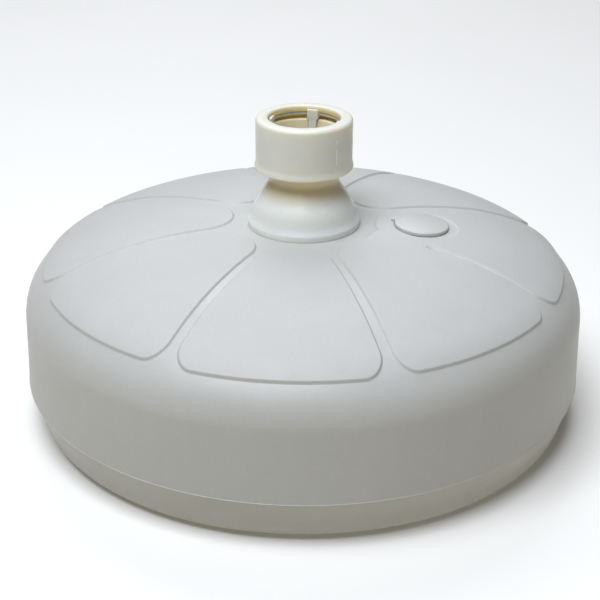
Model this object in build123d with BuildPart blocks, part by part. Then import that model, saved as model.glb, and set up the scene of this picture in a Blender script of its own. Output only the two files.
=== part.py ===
from build123d import *
import os
from math import asin, cos, degrees, radians, sin, tan

# Round water-filled parasol base, standing on XY with its pole axis on Z. All sizes are in millimetres.
# The origin is at the centre of the foot, on the ground.
os.makedirs("parts", exist_ok=True)

# ---- Tank: one blow-moulded shell round a central well
WALL = 3.0
PARTING_RADIUS = 225.0          # the widest place, where the two mould halves meet
PARTING_Z = 37.0
PARTING_BEAD = 0.35             # flash line left by the mould
FOOT_RADIUS = 217.0
FOOT_ROUNDING = 16.0
FOOT_RING_INNER = 170.0         # the tank stands on the ring between this and the foot's rounding
PANEL_Z = 8.0                   # underside panel, clear of the ground
RIM_RADIUS = 223.0              # top of the side wall, where the shoulder starts
RIM_Z = 92.0
SHOULDER_ARCS = [(38.0, 38.0), (62.0, 27.0)]    # radius and turn in degrees, from the rim inward
DOME_ARCS = [(240.0, 13.0), (340.0, 16.0)]      # the same, on to the edge of the bell's flat seat
WELL_RADIUS = 27.6
WELL_EDGE = 4.0                 # rounding where the well meets the dome
RECESS_RADIUS = 48.0            # pocket under the tank for the foot nut
RECESS_Z = 24.0
RECESS_DRAFT = 2.0              # how much wider the pocket is at its mouth
UNDERSIDE_ROUNDING = 2.5
RIB_COUNT = 8                   # stiffening ribs under the tank
RIB_WIDTH = 9.0
RIB_DEPTH = 5.0
RIB_SPAN = (56.0, 163.0)

# ---- Petals: raised pads on the dome
PETAL_COUNT = 8
PETAL_PITCH = 360 / PETAL_COUNT
PETAL_START = -5.0              # direction of the petal with the filler on it
PETAL_HEIGHT = 1.6
PETAL_OUTER = 207.0
PETAL_OUTER_CORNER = 16.0
PETAL_INSET = 2.4               # how far a petal's straight sides pass the pole axis by
PETAL_SIDE_ANGLE = 21.9         # of each straight side to the petal's middle line
PETAL_TIP_ROUNDING = 30.0       # where the two straight sides meet, towards the neck

# ---- Filler: a hole in one petal, closed by a press-in plug on a flat gasket
FILLER_RADIUS = 93.7            # distance of the filler's centre from the pole axis
FILLER_HOLE = 17.0
FILLER_SEAT = 22.2              # pocket for the plug's flange
FILLER_SEAT_DEPTH = 2.2
FILLER_NECK_WALL = 3.0
FILLER_NECK_DEPTH = 9.0
FINGER_DISH = 25.4              # shallow dish, set outward, that leaves a crescent for a finger
FINGER_DISH_OFFSET = 3.4
FINGER_DISH_ANGLE = -4.0
FINGER_DISH_DEPTH = 1.6
BRIDGE_SPAN = (64.0, 107.0)     # the band beside the filler is closed at petal level from here to here
BRIDGE_WIDTH = 13.0
CAP_RADIUS = 21.6
CAP_EDGE = 2.6                  # height of the flange's edge
CAP_CROWN = 1.9                 # how far the cap's dome rises above that edge
CAP_SKIRT_RADIUS = 16.6
CAP_SKIRT_WALL = 1.8
CAP_SKIRT_LENGTH = 11.0
CAP_SKIRT_LEAD = (0.6, 1.5)     # slope round the skirt's end, across and along
CAP_ROUNDING = 0.9
GASKET_THICKNESS = 1.2
GASKET_RADII = (16.9, 21.2)
TAB_ANGLE = 168.0               # small lifting tab on the cap's inner side, lying on the petal
TAB_LENGTH = 3.0
TAB_WIDTH = 4.0
TAB_HEIGHT = 1.2

# ---- Neck: bell, waist and threaded collar in one moulding
BELL_RADIUS = 44.8
BELL_BAND_TOP = 162.3
BELL_FOLD = 0.5                 # small step above the band
BELL_CURVE = [(42.0, 166.5), (39.0, 175.5), (33.0, 184.5), (27.6, 193.4)]
BELL_WALL = 2.5
BELL_INSIDE = [(36.7, 174.4), (39.6, 165.9)]
WAIST_RADIUS = 26.8
WAIST_Z = (197.5, 203.0)
COLLAR_RADIUS = 31.6
COLLAR_Z = 207.5
NECK_TOP = 233.6
RIM_EDGE = 0.8
BORE_RADIUS = 24.4              # takes poles up to 48 mm
MOUTH_RADIUS = 27.6             # wide end of the collet's seat
SEAT_RADIUS = 26.0              # narrow end of the collet's seat
SEAT_BOTTOM = 217.0
SLEEVE_RADIUS = 29.8            # sleeve inside the bell that grips the pole tube
SLEEVE_BOTTOM = 159.0
KEYWAY_WIDTH = 7.0
KEYWAY_RADIUS = 28.9

# ---- Pole tube and foot nut
TUBE_RADIUS = 27.0
TUBE_TOP = 184.0
TUBE_BOTTOM = 11.5
TUBE_CHAMFER = 0.8
JOINT_GAP = 0.05                # glue or thread gap round the tube's two ends
FOOT_NUT_RADIUS = 37.0
FOOT_NUT_FLANGE = 42.0
FOOT_NUT_FLANGE_HEIGHT = 3.0
FOOT_NUT_BOTTOM = 6.5
GRIP_COUNT = 12                 # finger hollows round the foot nut
GRIP_RADIUS = 5.0
DRAIN_COUNT = 4
DRAIN_RADIUS = 3.0
DRAIN_CIRCLE = 14.0

# ---- Clamp: nut and collet on a coarse thread
PITCH = 7.0
THREAD_TURNS = 2.0
THREAD_START = 213.0
THREAD_DEPTH = 2.4
THREAD_ROOT = 3.2               # width of a ridge at its root and at its crest
THREAD_CREST = 1.8
THREAD_SINK = 0.4               # how far a ridge is rooted in its wall
NUT_BORE = 34.6
NUT_BOTTOM = 204.4
NUT_TOP = 244.6
NUT_RADIUS_LOW = 38.1
NUT_RADIUS_HIGH = 37.7
NUT_BEAD_RADIUS = 38.6
NUT_BEAD_HEIGHT = 3.6
NUT_EDGE = 3.0
LIP_RADIUS = 28.1
LIP_EDGE = 1.4
LIP_UNDERSIDE = 239.5
MARK_ANGLE = -48.0              # raised mark that shows how far the nut is turned
MARK_RELIEF = 0.5
MARK_ROOT = 1.0                 # how deep the mark is rooted in the nut's wall
MARK_LINE = (214.5, 227.5)
MARK_DOT_Z = 232.0
MARK_WIDTH = 1.8
COLLET_RING = (28.9, 34.0)
COLLET_RING_Z = (236.9, 239.2)
TONGUE_COUNT = 4
TONGUE_START = 75.5
TONGUE_WIDTH = 9.5
KEY_WIDTH = 6.0
TONGUE_FACE = 25.2
TONGUE_BACK = 27.3
TONGUE_LAP = 1.0                # how far each tongue runs into the ring
TONGUE_TOP = 242.0
KEY_TOP = 234.2
KEY_BACK = (28.2, 26.9)         # radius of the key's back at its top and at its tip
TONGUE_TIP = 218.0
TIP_FACE = 24.8


def thread_ridge(wall_radius, outward, start_z):
    """One helical ridge rooted in a wall: outward is 1 on the outside of a neck, -1 inside a nut."""
    path = Helix(PITCH, PITCH * THREAD_TURNS, wall_radius, center=(0, 0, start_z))
    with BuildSketch(Plane(path @ 0, x_dir=(outward, 0, 0), z_dir=path % 0)) as section:
        with BuildLine():
            Polyline(
                (-THREAD_SINK, -THREAD_ROOT / 2),
                (THREAD_DEPTH, -THREAD_CREST / 2),
                (THREAD_DEPTH, THREAD_CREST / 2),
                (-THREAD_SINK, THREAD_ROOT / 2),
                close=True,
            )
        make_face()
    return sweep(section.sketch, path=path, is_frenet=True)


# ---------------------------------------------------------------- tank
def top_curve(level):
    """The top's outline from the rim to the bell's seat, moved outward by level."""
    shoulder, dome_points = [], []
    start, heading = Vector(RIM_RADIUS + level, RIM_Z), Vector(0, 1)
    for radius, turn in SHOULDER_ARCS:
        shoulder.append(JernArc(start, heading, radius + level, turn))
        start, heading = shoulder[-1] @ 1, shoulder[-1] % 1
    dome_start, dome_heading = start, heading
    for radius, turn in DOME_ARCS:
        arc = JernArc(start, heading, radius + level, turn)
        dome_points += [arc @ 0.25, arc @ 0.5, arc @ 0.75, arc @ 1]
        start, heading = arc @ 1, arc % 1
    return shoulder + [Spline(dome_start, *dome_points, tangents=[dome_heading, heading])]


def tank_outline(level):
    """The tank's closed outline beside the pole axis, moved outward by level."""
    top = top_curve(level)
    seat = top[-1] @ 1
    well_start = (WELL_RADIUS - level, seat.Y - WELL_EDGE - level)
    foot_start = (FOOT_RADIUS - FOOT_ROUNDING, -level)
    foot_end = (FOOT_RADIUS + level, FOOT_ROUNDING)
    with BuildLine() as outline:
        add(top)
        Line(seat, (WELL_RADIUS + WELL_EDGE, seat.Y))
        RadiusArc((WELL_RADIUS + WELL_EDGE, seat.Y), well_start, -WELL_EDGE - level)
        FilletPolyline(
            well_start,
            (WELL_RADIUS - level, RECESS_Z - level),
            (RECESS_RADIUS - level, RECESS_Z - level),
            (RECESS_RADIUS + RECESS_DRAFT - level, PANEL_Z - level),
            (FOOT_RING_INNER - PANEL_Z, PANEL_Z - level),
            (FOOT_RING_INNER, -level),
            foot_start,
            radius=UNDERSIDE_ROUNDING,
        )
        RadiusArc(foot_start, foot_end, -FOOT_ROUNDING - level)
        Polyline(
            foot_end,
            (PARTING_RADIUS - PARTING_BEAD + level, PARTING_Z - PARTING_BEAD),
            (PARTING_RADIUS + level, PARTING_Z),
            (PARTING_RADIUS - PARTING_BEAD + level, PARTING_Z + PARTING_BEAD),
            (RIM_RADIUS + level, RIM_Z),
        )
    return outline.line


seat_edge = top_curve(0)[-1] @ 1
SEAT_Z = seat_edge.Y

# The petals' outlines, seen from above
with BuildSketch() as petal_outline:
    start = PETAL_INSET / sin(radians(PETAL_SIDE_ANGLE))
    reach = 2 * PETAL_OUTER
    half_width = reach * tan(radians(PETAL_SIDE_ANGLE))
    with BuildLine():
        Polyline((start, 0), (start + reach, half_width), (start + reach, -half_width), close=True)
    make_face()
    Circle(PETAL_OUTER, mode=Mode.INTERSECT)
    fillet(petal_outline.vertices().group_by(Axis.X)[-1], PETAL_OUTER_CORNER)
    fillet(petal_outline.vertices().group_by(Axis.X)[0], PETAL_TIP_ROUNDING)

with BuildSketch() as bridge_outline:
    with Locations(Rotation(0, 0, PETAL_START - PETAL_PITCH / 2)):
        with Locations(((BRIDGE_SPAN[0] + BRIDGE_SPAN[1]) / 2, 0)):
            Rectangle(BRIDGE_SPAN[1] - BRIDGE_SPAN[0], BRIDGE_WIDTH)

# A skin over the dome and shoulder, sunk into the wall and PETAL_HEIGHT proud of it, to cut the petals from
skin_under = top_curve(-WALL / 2)
skin_over = top_curve(PETAL_HEIGHT)
with BuildPart() as petals:
    with BuildSketch(Plane.XZ):
        with BuildLine():
            add(skin_under)
            add(skin_over)
            Line(skin_under[0] @ 0, skin_over[0] @ 0)
            Line(skin_under[-1] @ 1, skin_over[-1] @ 1)
        make_face()
    revolve(axis=Axis.Z)
    with BuildSketch(Plane.XY.offset(RIM_Z)):
        with PolarLocations(0, PETAL_COUNT, start_angle=PETAL_START):
            add(petal_outline.sketch)
        add(bridge_outline.sketch)
    extrude(amount=RIM_Z, mode=Mode.INTERSECT)

# Filler plane: on the petal's top over the filler's centre, X outward down the dome, Z along the plug
crown_radius, crown_turn = DOME_ARCS[-1]
lean_at_seat = sum(turn for radius, turn in SHOULDER_ARCS + DOME_ARCS) - 90
crown = seat_edge - Vector(-sin(radians(lean_at_seat)), cos(radians(lean_at_seat))) * crown_radius
lean = asin((FILLER_RADIUS - crown.X) / crown_radius)
filler_side = Vector(1, 0, 0).rotate(Axis.Z, PETAL_START)
plug_axis = filler_side * sin(lean) + Vector(0, 0, cos(lean))
filler_plane = Plane(
    filler_side * crown.X + Vector(0, 0, crown.Y) + plug_axis * (crown_radius + PETAL_HEIGHT),
    x_dir=filler_side * cos(lean) - Vector(0, 0, sin(lean)),
    z_dir=plug_axis,
)

outer_outline = tank_outline(0)
inner_outline = tank_outline(-WALL)

with BuildPart() as tank:
    with BuildSketch(Plane.XZ):
        with BuildLine():
            add(outer_outline)
        make_face()
        with BuildLine():
            add(inner_outline)
        make_face(mode=Mode.SUBTRACT)
    revolve(axis=Axis.Z)
    add(petals.part)
    # stiffening ribs across the underside panel
    with BuildSketch(Plane.XY.offset(PANEL_Z - RIB_DEPTH)):
        with PolarLocations((RIB_SPAN[0] + RIB_SPAN[1]) / 2, RIB_COUNT, start_angle=PETAL_START):
            SlotOverall(RIB_SPAN[1] - RIB_SPAN[0], RIB_WIDTH)
    extrude(amount=RIB_DEPTH + WALL / 2)
    # filler neck, seat, finger dish and hole
    with BuildSketch(filler_plane.offset(-FILLER_SEAT_DEPTH - FILLER_NECK_DEPTH)):
        Circle(FILLER_HOLE + FILLER_NECK_WALL)
    extrude(amount=FILLER_NECK_DEPTH)
    with BuildSketch(filler_plane.offset(-FILLER_SEAT_DEPTH)):
        Circle(FILLER_SEAT)
    extrude(amount=2 * FILLER_SEAT_DEPTH, mode=Mode.SUBTRACT)
    with BuildSketch(filler_plane.offset(-FINGER_DISH_DEPTH)):
        with PolarLocations(FINGER_DISH_OFFSET, 1, start_angle=FINGER_DISH_ANGLE):
            Circle(FINGER_DISH)
    extrude(amount=2 * FINGER_DISH_DEPTH, mode=Mode.SUBTRACT)
    with BuildSketch(filler_plane.offset(-FILLER_SEAT_DEPTH - FILLER_NECK_DEPTH)):
        Circle(FILLER_HOLE)
    extrude(amount=2 * FILLER_NECK_DEPTH, mode=Mode.SUBTRACT)
tank.part.label = "tank"

# ---------------------------------------------------------------- filler plug and gasket
# Both are drawn in the filler plane: Z is the way the plug pulls out.
flange_under = GASKET_THICKNESS - FILLER_SEAT_DEPTH
flange_top = flange_under + CAP_EDGE
skirt_end = flange_under - CAP_SKIRT_LENGTH
skirt_inside = CAP_SKIRT_RADIUS - CAP_SKIRT_WALL

with BuildPart() as filler_cap:
    with BuildSketch(Plane.XZ) as cap_section:
        with BuildLine():
            Polyline(
                (0, flange_top + CAP_CROWN),
                (0, flange_under),
                (skirt_inside, flange_under),
                (skirt_inside, skirt_end),
                (CAP_SKIRT_RADIUS - CAP_SKIRT_LEAD[0], skirt_end),
                (CAP_SKIRT_RADIUS, skirt_end + CAP_SKIRT_LEAD[1]),
                (CAP_SKIRT_RADIUS, flange_under),
                (CAP_RADIUS, flange_under),
                (CAP_RADIUS, flange_top),
            )
            cap_radius = (CAP_RADIUS**2 + CAP_CROWN**2) / (2 * CAP_CROWN)
            RadiusArc((CAP_RADIUS, flange_top), (0, flange_top + CAP_CROWN), -cap_radius)
        make_face()
        fillet(cap_section.vertices().sort_by_distance((CAP_RADIUS, flange_top))[:1], CAP_ROUNDING)
    revolve(axis=Axis.Z)
    with BuildSketch():
        with PolarLocations(CAP_RADIUS, 1, start_angle=TAB_ANGLE):
            SlotOverall(2 * TAB_LENGTH, TAB_WIDTH)
    extrude(amount=TAB_HEIGHT)

with BuildPart() as filler_seal:
    with BuildSketch(Plane.XY.offset(-FILLER_SEAT_DEPTH)):
        Circle(GASKET_RADII[1])
        Circle(GASKET_RADII[0], mode=Mode.SUBTRACT)
    extrude(amount=GASKET_THICKNESS)

# ---------------------------------------------------------------- neck
neck_thread = thread_ridge(COLLAR_RADIUS, 1, THREAD_START)
bell_top = (BELL_RADIUS - BELL_FOLD, BELL_BAND_TOP + BELL_FOLD)

with BuildPart() as neck:
    with BuildSketch(Plane.XZ) as neck_section:
        with BuildLine():
            Polyline(
                (BELL_RADIUS - BELL_WALL, BELL_BAND_TOP),
                (BELL_RADIUS - BELL_WALL, SEAT_Z),
                (BELL_RADIUS, SEAT_Z),
                (BELL_RADIUS, BELL_BAND_TOP),
                bell_top,
            )
            Spline(bell_top, *BELL_CURVE, (WAIST_RADIUS, WAIST_Z[0]))
            Polyline(
                (WAIST_RADIUS, WAIST_Z[0]),
                (WAIST_RADIUS, WAIST_Z[1]),
                (COLLAR_RADIUS, COLLAR_Z),
                (COLLAR_RADIUS, NECK_TOP - RIM_EDGE),
                (COLLAR_RADIUS - RIM_EDGE, NECK_TOP),
                (MOUTH_RADIUS, NECK_TOP),
                (SEAT_RADIUS, SEAT_BOTTOM),
                (BORE_RADIUS, SEAT_BOTTOM - (SEAT_RADIUS - BORE_RADIUS)),
                (BORE_RADIUS, TUBE_TOP),
                (TUBE_RADIUS + JOINT_GAP, TUBE_TOP),
                (TUBE_RADIUS + JOINT_GAP, SLEEVE_BOTTOM),
                (SLEEVE_RADIUS, SLEEVE_BOTTOM),
                (SLEEVE_RADIUS, TUBE_TOP),
            )
            Spline((SLEEVE_RADIUS, TUBE_TOP), *BELL_INSIDE, (BELL_RADIUS - BELL_WALL, BELL_BAND_TOP))
        make_face()
    revolve(axis=Axis.Z)
    add(neck_thread)
    with BuildSketch(Plane.XY.offset(SEAT_BOTTOM)):
        with PolarLocations(KEYWAY_RADIUS / 2, TONGUE_COUNT, start_angle=TONGUE_START):
            Rectangle(KEYWAY_RADIUS, KEYWAY_WIDTH)
        Circle(BORE_RADIUS, mode=Mode.SUBTRACT)
    extrude(amount=NECK_TOP, mode=Mode.SUBTRACT)
neck.part.label = "neck"

# ---------------------------------------------------------------- pole tube and foot nut
with BuildPart() as pole_tube:
    with BuildSketch(Plane.XY.offset(TUBE_BOTTOM)):
        Circle(TUBE_RADIUS)
        Circle(BORE_RADIUS, mode=Mode.SUBTRACT)
    extrude(amount=TUBE_TOP - TUBE_BOTTOM)
    chamfer(pole_tube.edges().group_by(Axis.Z)[0].sort_by(SortBy.RADIUS)[-1:], TUBE_CHAMFER)
pole_tube.part.label = "pole_tube"

with BuildPart() as foot_nut:
    with BuildSketch(Plane.XY.offset(FOOT_NUT_BOTTOM)):
        Circle(FOOT_NUT_RADIUS)
        with PolarLocations(FOOT_NUT_RADIUS + GRIP_RADIUS / 2, GRIP_COUNT):
            Circle(GRIP_RADIUS, mode=Mode.SUBTRACT)
    extrude(amount=RECESS_Z - FOOT_NUT_FLANGE_HEIGHT - FOOT_NUT_BOTTOM)
    with BuildSketch(Plane.XY.offset(RECESS_Z)):
        Circle(FOOT_NUT_FLANGE)
    extrude(amount=-FOOT_NUT_FLANGE_HEIGHT)
    with BuildSketch(Plane.XY.offset(TUBE_BOTTOM)):
        Circle(TUBE_RADIUS + JOINT_GAP)
    extrude(amount=RECESS_Z, mode=Mode.SUBTRACT)
    with BuildSketch(Plane.XY):
        with PolarLocations(DRAIN_CIRCLE, DRAIN_COUNT):
            Circle(DRAIN_RADIUS)
    extrude(amount=RECESS_Z, mode=Mode.SUBTRACT)
foot_nut.part.label = "foot_nut"

# ---------------------------------------------------------------- clamp nut
nut_thread = thread_ridge(NUT_BORE, -1, THREAD_START + PITCH / 2)

with BuildPart() as clamp_nut:
    with BuildSketch(Plane.XZ) as nut_section:
        with BuildLine():
            Polyline(
                (NUT_BORE, NUT_BOTTOM),
                (NUT_BEAD_RADIUS, NUT_BOTTOM),
                (NUT_BEAD_RADIUS, NUT_BOTTOM + NUT_BEAD_HEIGHT),
                (NUT_RADIUS_LOW, NUT_BOTTOM + NUT_BEAD_HEIGHT),
                (NUT_RADIUS_HIGH, NUT_TOP),
                (LIP_RADIUS, NUT_TOP),
                (LIP_RADIUS, LIP_UNDERSIDE),
                (NUT_BORE, LIP_UNDERSIDE),
                close=True,
            )
        make_face()
        fillet(nut_section.vertices().sort_by_distance((NUT_RADIUS_HIGH, NUT_TOP))[:1], NUT_EDGE)
        fillet(nut_section.vertices().sort_by_distance((LIP_RADIUS, NUT_TOP))[:1], LIP_EDGE)
        fillet(nut_section.vertices().sort_by_distance((NUT_BEAD_RADIUS, NUT_BOTTOM))[:1], LIP_EDGE)
    revolve(axis=Axis.Z)
    add(nut_thread)
    mark_side = Vector(1, 0, 0).rotate(Axis.Z, MARK_ANGLE)
    along = Vector(0, 0, 1).cross(mark_side)
    with BuildSketch(Plane(mark_side * (NUT_RADIUS_HIGH - MARK_ROOT), x_dir=along, z_dir=mark_side)):
        with Locations((0, (MARK_LINE[0] + MARK_LINE[1]) / 2)):
            SlotOverall(MARK_LINE[1] - MARK_LINE[0], MARK_WIDTH, rotation=90)
        with Locations((0, MARK_DOT_Z)):
            Circle(MARK_WIDTH)
    extrude(amount=MARK_ROOT + NUT_RADIUS_LOW - NUT_RADIUS_HIGH + MARK_RELIEF)
clamp_nut.part.label = "clamp_nut"

# ---------------------------------------------------------------- clamp collet
with BuildPart() as clamp_collet:
    with BuildSketch(Plane.XY.offset(COLLET_RING_Z[0])):
        Circle(COLLET_RING[1])
        Circle(COLLET_RING[0], mode=Mode.SUBTRACT)
    extrude(amount=COLLET_RING_Z[1] - COLLET_RING_Z[0])
    tongue_arc = degrees(TONGUE_WIDTH / TONGUE_BACK)
    key_arc = degrees(KEY_WIDTH / TONGUE_BACK)
    for turn in range(TONGUE_COUNT):
        centre = TONGUE_START + turn * 360 / TONGUE_COUNT
        with BuildSketch(Plane.XZ.rotated((0, 0, centre - tongue_arc / 2))):
            with BuildLine():
                Polyline(
                    (TONGUE_FACE, TONGUE_TOP),
                    (TONGUE_BACK, TONGUE_TOP),
                    (TONGUE_BACK, COLLET_RING_Z[1]),
                    (COLLET_RING[0] + TONGUE_LAP, COLLET_RING_Z[1]),
                    (COLLET_RING[0] + TONGUE_LAP, COLLET_RING_Z[0]),
                    (TONGUE_BACK, KEY_TOP),
                    (TONGUE_FACE, KEY_TOP),
                    close=True,
                )
            make_face()
        revolve(axis=Axis.Z, revolution_arc=tongue_arc)
        with BuildSketch(Plane.XZ.rotated((0, 0, centre - key_arc / 2))):
            with BuildLine():
                Polyline(
                    (TONGUE_FACE, KEY_TOP),
                    (KEY_BACK[0], KEY_TOP),
                    (KEY_BACK[1], TONGUE_TIP),
                    (TIP_FACE, TONGUE_TIP),
                    close=True,
                )
            make_face()
        revolve(axis=Axis.Z, revolution_arc=key_arc)
clamp_collet.part.label = "clamp_collet"

# ---------------------------------------------------------------- place the plug and write every piece
placed_cap = filler_plane.location * filler_cap.part
placed_cap.label = "filler_cap"
placed_seal = filler_plane.location * filler_seal.part
placed_seal.label = "filler_seal"

pieces = [
    tank.part,
    neck.part,
    pole_tube.part,
    foot_nut.part,
    clamp_nut.part,
    clamp_collet.part,
    placed_cap,
    placed_seal,
]
for piece in pieces:
    export_step(piece, f"parts/{piece.label}.step")
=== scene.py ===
"""Looks of a round water-filled parasol base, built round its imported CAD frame.

Shapes are worked out in millimetres, in the CAD frame's own axes, and written to the meshes in metres.
"""

import math

import bpy
import numpy as np
from mathutils import Matrix, Vector


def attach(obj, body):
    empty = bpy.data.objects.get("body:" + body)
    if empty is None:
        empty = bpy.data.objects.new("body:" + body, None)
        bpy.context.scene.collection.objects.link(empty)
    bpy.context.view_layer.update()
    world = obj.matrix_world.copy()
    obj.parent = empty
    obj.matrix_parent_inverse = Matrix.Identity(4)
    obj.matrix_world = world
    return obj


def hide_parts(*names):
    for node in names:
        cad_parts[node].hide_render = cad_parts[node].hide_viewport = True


MM = 0.001

# ---- Tank
WALL = 3.0
WELL_RADIUS = 27.6
WELL_EDGE = 4.0
RECESS_RADIUS = 48.0
RECESS_Z = 24.0
RIM_RADIUS = 223.0
RIM_Z = 92.0
TOP_ARCS = [(38.0, 38.0), (62.0, 27.0), (240.0, 13.0), (340.0, 16.0)]    # radius and turn, rim inward
TOP_FROM_Z = 100.0              # all of the tank above this height is its top
PARTING_RADIUS = 225.0
PARTING_Z = 37.0
PARTING_BEAD = 0.35
FOOT_RADIUS = 217.0
FOOT_ROUNDING = 16.0
FOOT_RING_INNER = 170.0
PANEL_Z = 8.0
RIB_COUNT = 8
RIB_HALF_WIDTH = 4.5
RIB_DEPTH = 5.0
RIB_SPAN = (56.0, 163.0)

# ---- Petals
PETAL_COUNT = 8
PETAL_PITCH = 45.0
PETAL_START = -5.0
PETAL_HEIGHT = 1.6
PETAL_OUTER = 207.0
PETAL_OUTER_CORNER = 16.0
PETAL_INSET = 2.4
PETAL_SIDE_ANGLE = 21.9
PETAL_TIP_ROUNDING = 30.0
PETAL_EDGE_WIDTH = 2.0          # how wide the soft step round a petal is
BRIDGE_SPAN = (60.0, 107.0)
BRIDGE_HALF_WIDTH = 6.5
BRIDGE_END_SLOPE = 0.4          # its ends run out more gently than a petal's edge

# ---- Filler
FILLER_RADIUS = 93.7
CROWN_CENTRE = (70.07, -181.913)    # centre (r, z) and radius of the dome's arc that the filler sits on
CROWN_RADIUS = 340.0
DOME_FALL = (684.0, 2700.0)     # twice the dome's radius of curvature there, outward and sideways
INSIDE_OPENING = 16.5           # what the tank's inside leaves open round the filler's centre
FILLER_HOLE = 17.0
FILLER_SEAT = 22.0
FILLER_SEAT_DEPTH = 2.2
FILLER_NECK_WALL = 3.0
FILLER_NECK_DEPTH = 9.0
FINGER_DISH = 25.4
FINGER_DISH_OFFSET = 3.4
FINGER_DISH_ANGLE = -4.0
FINGER_DISH_DEPTH = 1.6
DISH_EDGE_WIDTH = 1.7
SEAT_LIP = (23.4, 25.0)         # the grid of the tank's top ends at the first, the seat ring at the second
CAP_RADIUS = 21.6
CAP_TOP = 1.3
CAP_CROWN = 1.8
CAP_UNDER = -1.0
CAP_LIP_END = -1.5
CAP_DOME_EDGE = 19.9            # where the cap's dome meets its rounded edge
CAP_SKIRT = (14.8, 16.6)
CAP_SKIRT_END = -12.0
TAB_ANGLE = 168.0
TAB_LENGTH = 3.0
TAB_WIDTH = 4.0
TAB_HEIGHT = 1.2
TAB_FOOT = -0.8                 # how low the tab starts, and how far in
TAB_ROOT = 1.2

# ---- Neck, nut and collet
BELL_FOOT_Z = 157.26
BELL_RADIUS = 44.8
BELL_BAND_TOP = 162.3
BELL_SEAT_EDGE = 46.3           # where the bell's flat seat meets the dome
BELL_CURVE = [(33.0, 184.5), (39.0, 175.5), (42.0, 166.5)]
WAIST_RADIUS = 26.8
WAIST_Z = (197.5, 203.0)
SLEEVE_RADII = (27.05, 29.8)    # the sleeve that grips the pole tube
SLEEVE_BOTTOM = 159.0
TUBE_TOP = 184.0
COLLAR_RADIUS = 31.6
NECK_TOP = 233.6
BORE_RADIUS = 24.4
KEYWAY_RADIUS = 28.9
KEYWAY_HALF_WIDTH = 3.5
KEYWAY_FLOOR = 217.0
TONGUE_COUNT = 4
TONGUE_PITCH = 360 / TONGUE_COUNT
TONGUE_START = 75.5
PITCH = 7.0
THREAD_TURNS = 2.0
THREAD_START = 213.0
THREAD_DEPTH = 2.4
NUT_BORE = 34.6
NUT_Z = (204.4, 244.6)
NUT_RADII = (37.8, 37.7)        # over the bead, and at the top
NUT_BEAD = 38.7
LIP_RADIUS = 28.1
LIP_UNDERSIDE = 239.5
MARK_ANGLE = -48.0
MARK_LINE = (214.5, 227.5)
MARK_DOT_Z = 232.0
MARK_HALF_WIDTH = 0.9
MARK_DOT_RADIUS = 1.8
MARK_RELIEF = 0.5
COLLET_RADII = (28.9, 34.0)
COLLET_Z = (236.9, 239.2)
TONGUE_MIDDLE = 27.3            # radius at which the tongues' widths are measured
TONGUE_WIDTH = 9.3
KEY_WIDTH = 6.4


# ---------------------------------------------------------------- outlines
def arc(centre, radius, start, end, steps=24):
    """Points on an arc, from one direction in degrees to another."""
    turn = np.radians(np.linspace(start, end, steps))
    return np.stack([centre[0] + radius * np.cos(turn), centre[1] + radius * np.sin(turn)], axis=1)


def rounded(corners):
    """Points along a line through corners (r, z) or (r, z, rounding)."""
    points = [np.array(corners[0][:2], float)]
    for before, corner, after in zip(corners, corners[1:], corners[2:]):
        here = np.array(corner[:2], float)
        if len(corner) < 3:
            points.append(here)
            continue
        back = np.array(before[:2], float) - here
        on = np.array(after[:2], float) - here
        back /= np.linalg.norm(back)
        on /= np.linalg.norm(on)
        half = math.acos(max(-1.0, min(1.0, float(back @ on)))) / 2
        inward = (back + on) / np.linalg.norm(back + on)
        centre = here + inward * corner[2] / math.sin(half)
        first = here + back * corner[2] / math.tan(half) - centre
        last = here + on * corner[2] / math.tan(half) - centre
        swing = math.atan2(first[0] * last[1] - first[1] * last[0], first @ last)
        for step in np.linspace(0.0, 1.0, 13):
            turn = swing * step
            spun = (
                first[0] * math.cos(turn) - first[1] * math.sin(turn),
                first[0] * math.sin(turn) + first[1] * math.cos(turn),
            )
            points.append(centre + np.array(spun))
    points.append(np.array(corners[-1][:2], float))
    return np.array(points)


def smooth_through(points, steps=10):
    """A soft curve through the given points."""
    points = np.array(points, float)
    padded = np.vstack([2 * points[0] - points[1], points, 2 * points[-1] - points[-2]])
    curve = []
    for a, b, c, d in zip(padded, padded[1:], padded[2:], padded[3:]):
        for t in np.linspace(0.0, 1.0, steps, endpoint=False):
            square = (2 * a - 5 * b + 4 * c - d) * t**2
            cube = (3 * b - a - 3 * c + d) * t**3
            curve.append(0.5 * ((2 * b) + (c - a) * t + square + cube))
    curve.append(points[-1])
    return np.array(curve)


class Outline:
    """An outline beside the Z axis, followed by its own length. Its outside is on the left of its way."""

    def __init__(self, *runs):
        points = np.vstack(runs)
        steps = np.hypot(*np.diff(points, axis=0).T)
        self.points = points[np.concatenate([[True], steps > 1e-5])]
        self.at = np.concatenate([[0.0], np.cumsum(np.hypot(*np.diff(self.points, axis=0).T))])
        self.length = self.at[-1]

    def place(self, along):
        return np.interp(along, self.at, self.points[:, 0]), np.interp(along, self.at, self.points[:, 1])

    def side(self, along, reach=0.05):
        """The way out of the surface at each place."""
        low = np.clip(along - reach, 0, self.length - 2 * reach)
        high = np.clip(along + reach, 2 * reach, self.length)
        r0, z0 = self.place(low)
        r1, z1 = self.place(high)
        size = np.maximum(np.hypot(r1 - r0, z1 - z0), 1e-9)
        return -(z1 - z0) / size, (r1 - r0) / size

    def stations(self, step, turn=9.0):
        """Places along the outline: at most step(r, z) apart, and closer where it bends."""
        found = [0.0]
        while found[-1] < self.length - 1e-4:
            start = found[-1]
            size = step(*self.place(start))
            here = np.array(self.side(start + 0.06))
            while size > 0.15 and here @ np.array(self.side(start + size)) < math.cos(math.radians(turn)):
                size *= 0.75
            found.append(min(start + size, self.length))
        return np.array(found)


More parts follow.
